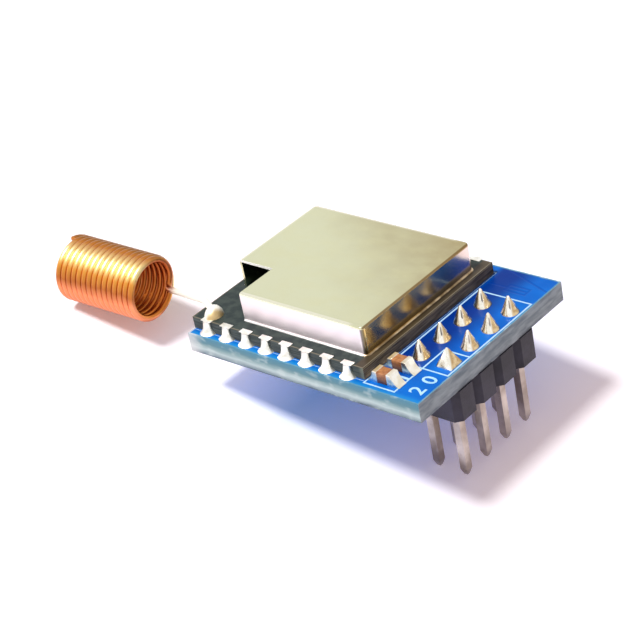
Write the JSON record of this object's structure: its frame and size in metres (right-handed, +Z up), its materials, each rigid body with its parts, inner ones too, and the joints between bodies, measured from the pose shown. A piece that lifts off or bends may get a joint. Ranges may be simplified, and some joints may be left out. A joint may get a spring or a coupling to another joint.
{
  "type": "long-range radio module",
  "caption": "Radio module with a shield can and a coiled wire antenna, soldered on a carrier board with a double-row pin header.",
  "frame": {"origin": "middle of the pin header, on the underside of its insulator", "axes": "+X from the antenna coil to the header along the boards, +Z up, out of the top of the boards; the pins point along -Z"},
  "size_m": [0.0379, 0.0178, 0.0133],
  "materials": {
    "blue_board": "blue solder mask over glass-epoxy",
    "black_board": "black solder mask over glass-epoxy",
    "can_metal": "plated sheet, satin",
    "crystal_metal": "plated lid",
    "chip_black": "moulded epoxy",
    "copper_wire": "bright enamelled copper",
    "header_plastic": "moulded, satin",
    "pin_metal": "plated, bright",
    "chip_end_metal": "tinned",
    "solder": "bright solder",
    "ceramic": "fired ceramic"
  },
  "bodies": {
    "root": {"antenna_coil": "copper_wire", "antenna_joint": "solder", "antenna_switch": "chip_black", "capacitor_1": "ceramic", "capacitor_1_left_end": "chip_end_metal", "capacitor_1_right_end": "chip_end_metal", "capacitor_2": "ceramic", "capacitor_2_left_end": "chip_end_metal", "capacitor_2_right_end": "chip_end_metal", "carrier_board": "blue_board", "crystal": "crystal_metal", "filter_part_1": "ceramic", "filter_part_2": "ceramic", "filter_part_3": "ceramic", "filter_part_4": "ceramic", "header_insulator": "header_plastic", "header_joint_1": "solder", "header_joint_2": "solder", "header_joint_3": "solder", "header_joint_4": "solder", "header_joint_5": "solder", "header_joint_6": "solder", "header_joint_7": "solder", "header_joint_8": "solder", "header_pin_1": "pin_metal", "header_pin_2": "pin_metal", "header_pin_3": "pin_metal", "header_pin_4": "pin_metal", "header_pin_5": "pin_metal", "header_pin_6": "pin_metal", "header_pin_7": "pin_metal", "header_pin_8": "pin_metal", "module_board": "black_board", "module_joint_1": "solder", "module_joint_10": "solder", "module_joint_11": "solder", "module_joint_12": "solder", "module_joint_13": "solder", "module_joint_14": "solder", "module_joint_15": "solder", "module_joint_16": "solder", "module_joint_2": "solder", "module_joint_3": "solder", "module_joint_4": "solder", "module_joint_5": "solder", "module_joint_6": "solder", "module_joint_7": "solder", "module_joint_8": "solder", "module_joint_9": "solder", "shield_can": "can_metal", "transceiver_chip": "chip_black"}
  },
  "joints": []
}
